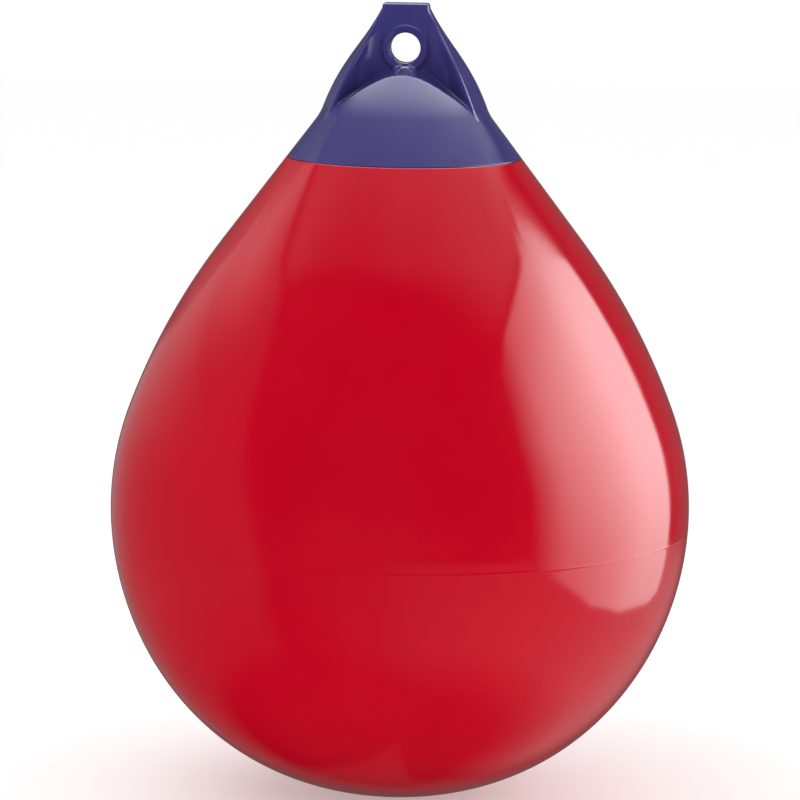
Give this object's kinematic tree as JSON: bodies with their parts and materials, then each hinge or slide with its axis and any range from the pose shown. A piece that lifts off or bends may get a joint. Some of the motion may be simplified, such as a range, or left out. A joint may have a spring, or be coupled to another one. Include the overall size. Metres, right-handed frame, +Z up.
{
  "type": "ball fender",
  "caption": "Drop-shaped inflatable ball fender: a hollow red vinyl body under a solid blue rope hold with a rope eye, side flanges and an inflation valve at its back.",
  "frame": {"origin": "centre of the rope eye in the rope hold, which the fender hangs from", "axes": "+Z up along the fender's long axis, from the ball to the crown; +Y along the rope eye's axis, to the back, where the valve is; -Y faces the camera"},
  "size_m": [0.5504, 0.5504, 0.7535],
  "materials": {
    "red_vinyl": "glossy soft vinyl",
    "blue_vinyl": "glossy solid vinyl",
    "white_nylon": "moulded nylon",
    "blue_nylon": "moulded nylon",
    "black_rubber": "matt"
  },
  "bodies": {
    "root": {"body": "red_vinyl", "rope_hold": "blue_vinyl", "valve_body": "white_nylon", "valve_screw": "blue_nylon", "valve_seal": "black_rubber"}
  },
  "joints": []
}
